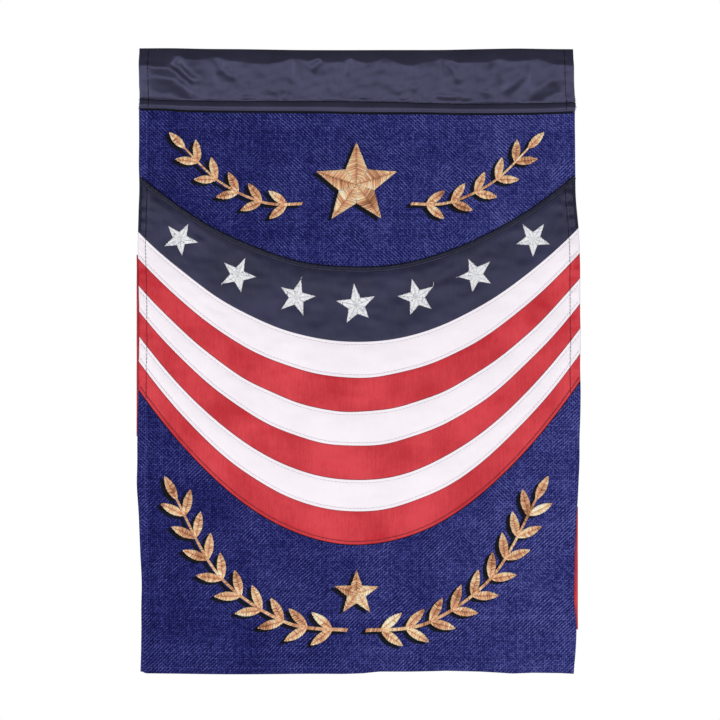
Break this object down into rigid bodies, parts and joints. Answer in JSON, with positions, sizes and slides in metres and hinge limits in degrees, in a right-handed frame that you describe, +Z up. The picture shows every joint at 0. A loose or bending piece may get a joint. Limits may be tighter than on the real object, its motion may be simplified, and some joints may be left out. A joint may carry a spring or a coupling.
{
  "type": "garden flag",
  "caption": "Burlap garden flag with an open rod sleeve along its top, and swag bands, stars and leafy stems sewn across its front.",
  "frame": {"origin": "middle of the top fold of the rod sleeve, where the rod carries the flag", "axes": "+Z up, from the bottom hem to the sleeve; -Y out of the decorated front; +X to the right as seen from the front"},
  "size_m": [0.3254, 0.0118, 0.4583],
  "materials": {
    "burlap_blue": "coarse plain-woven burlap",
    "sleeve_navy": "thin taffeta with a soft sheen",
    "cloth_red": "smooth taffeta",
    "cloth_white": "smooth taffeta",
    "cloth_navy": "smooth taffeta",
    "thread_gold": "satin-stitched rayon thread",
    "thread_silver": "satin-stitched rayon thread",
    "thread_dark": "sewing thread"
  },
  "bodies": {
    "root": {"panel_front": "burlap_blue", "panel_back": "burlap_blue", "rod_sleeve": "sleeve_navy", "navy_band": "cloth_navy", "red_ground": "cloth_red", "white_band_1": "cloth_white", "white_band_2": "cloth_white", "white_band_3": "cloth_white", "red_back_band": "cloth_red", "barn_star": "thread_gold", "wreath_star": "thread_gold", "sprig_left": "thread_gold", "branch_left": "thread_gold", "sprig_right": "thread_gold", "branch_right": "thread_gold", "star_1": "thread_silver", "star_2": "thread_silver", "star_3": "thread_silver", "star_4": "thread_silver", "star_5": "thread_silver", "star_6": "thread_silver", "star_7": "thread_silver"}
  },
  "joints": []
}
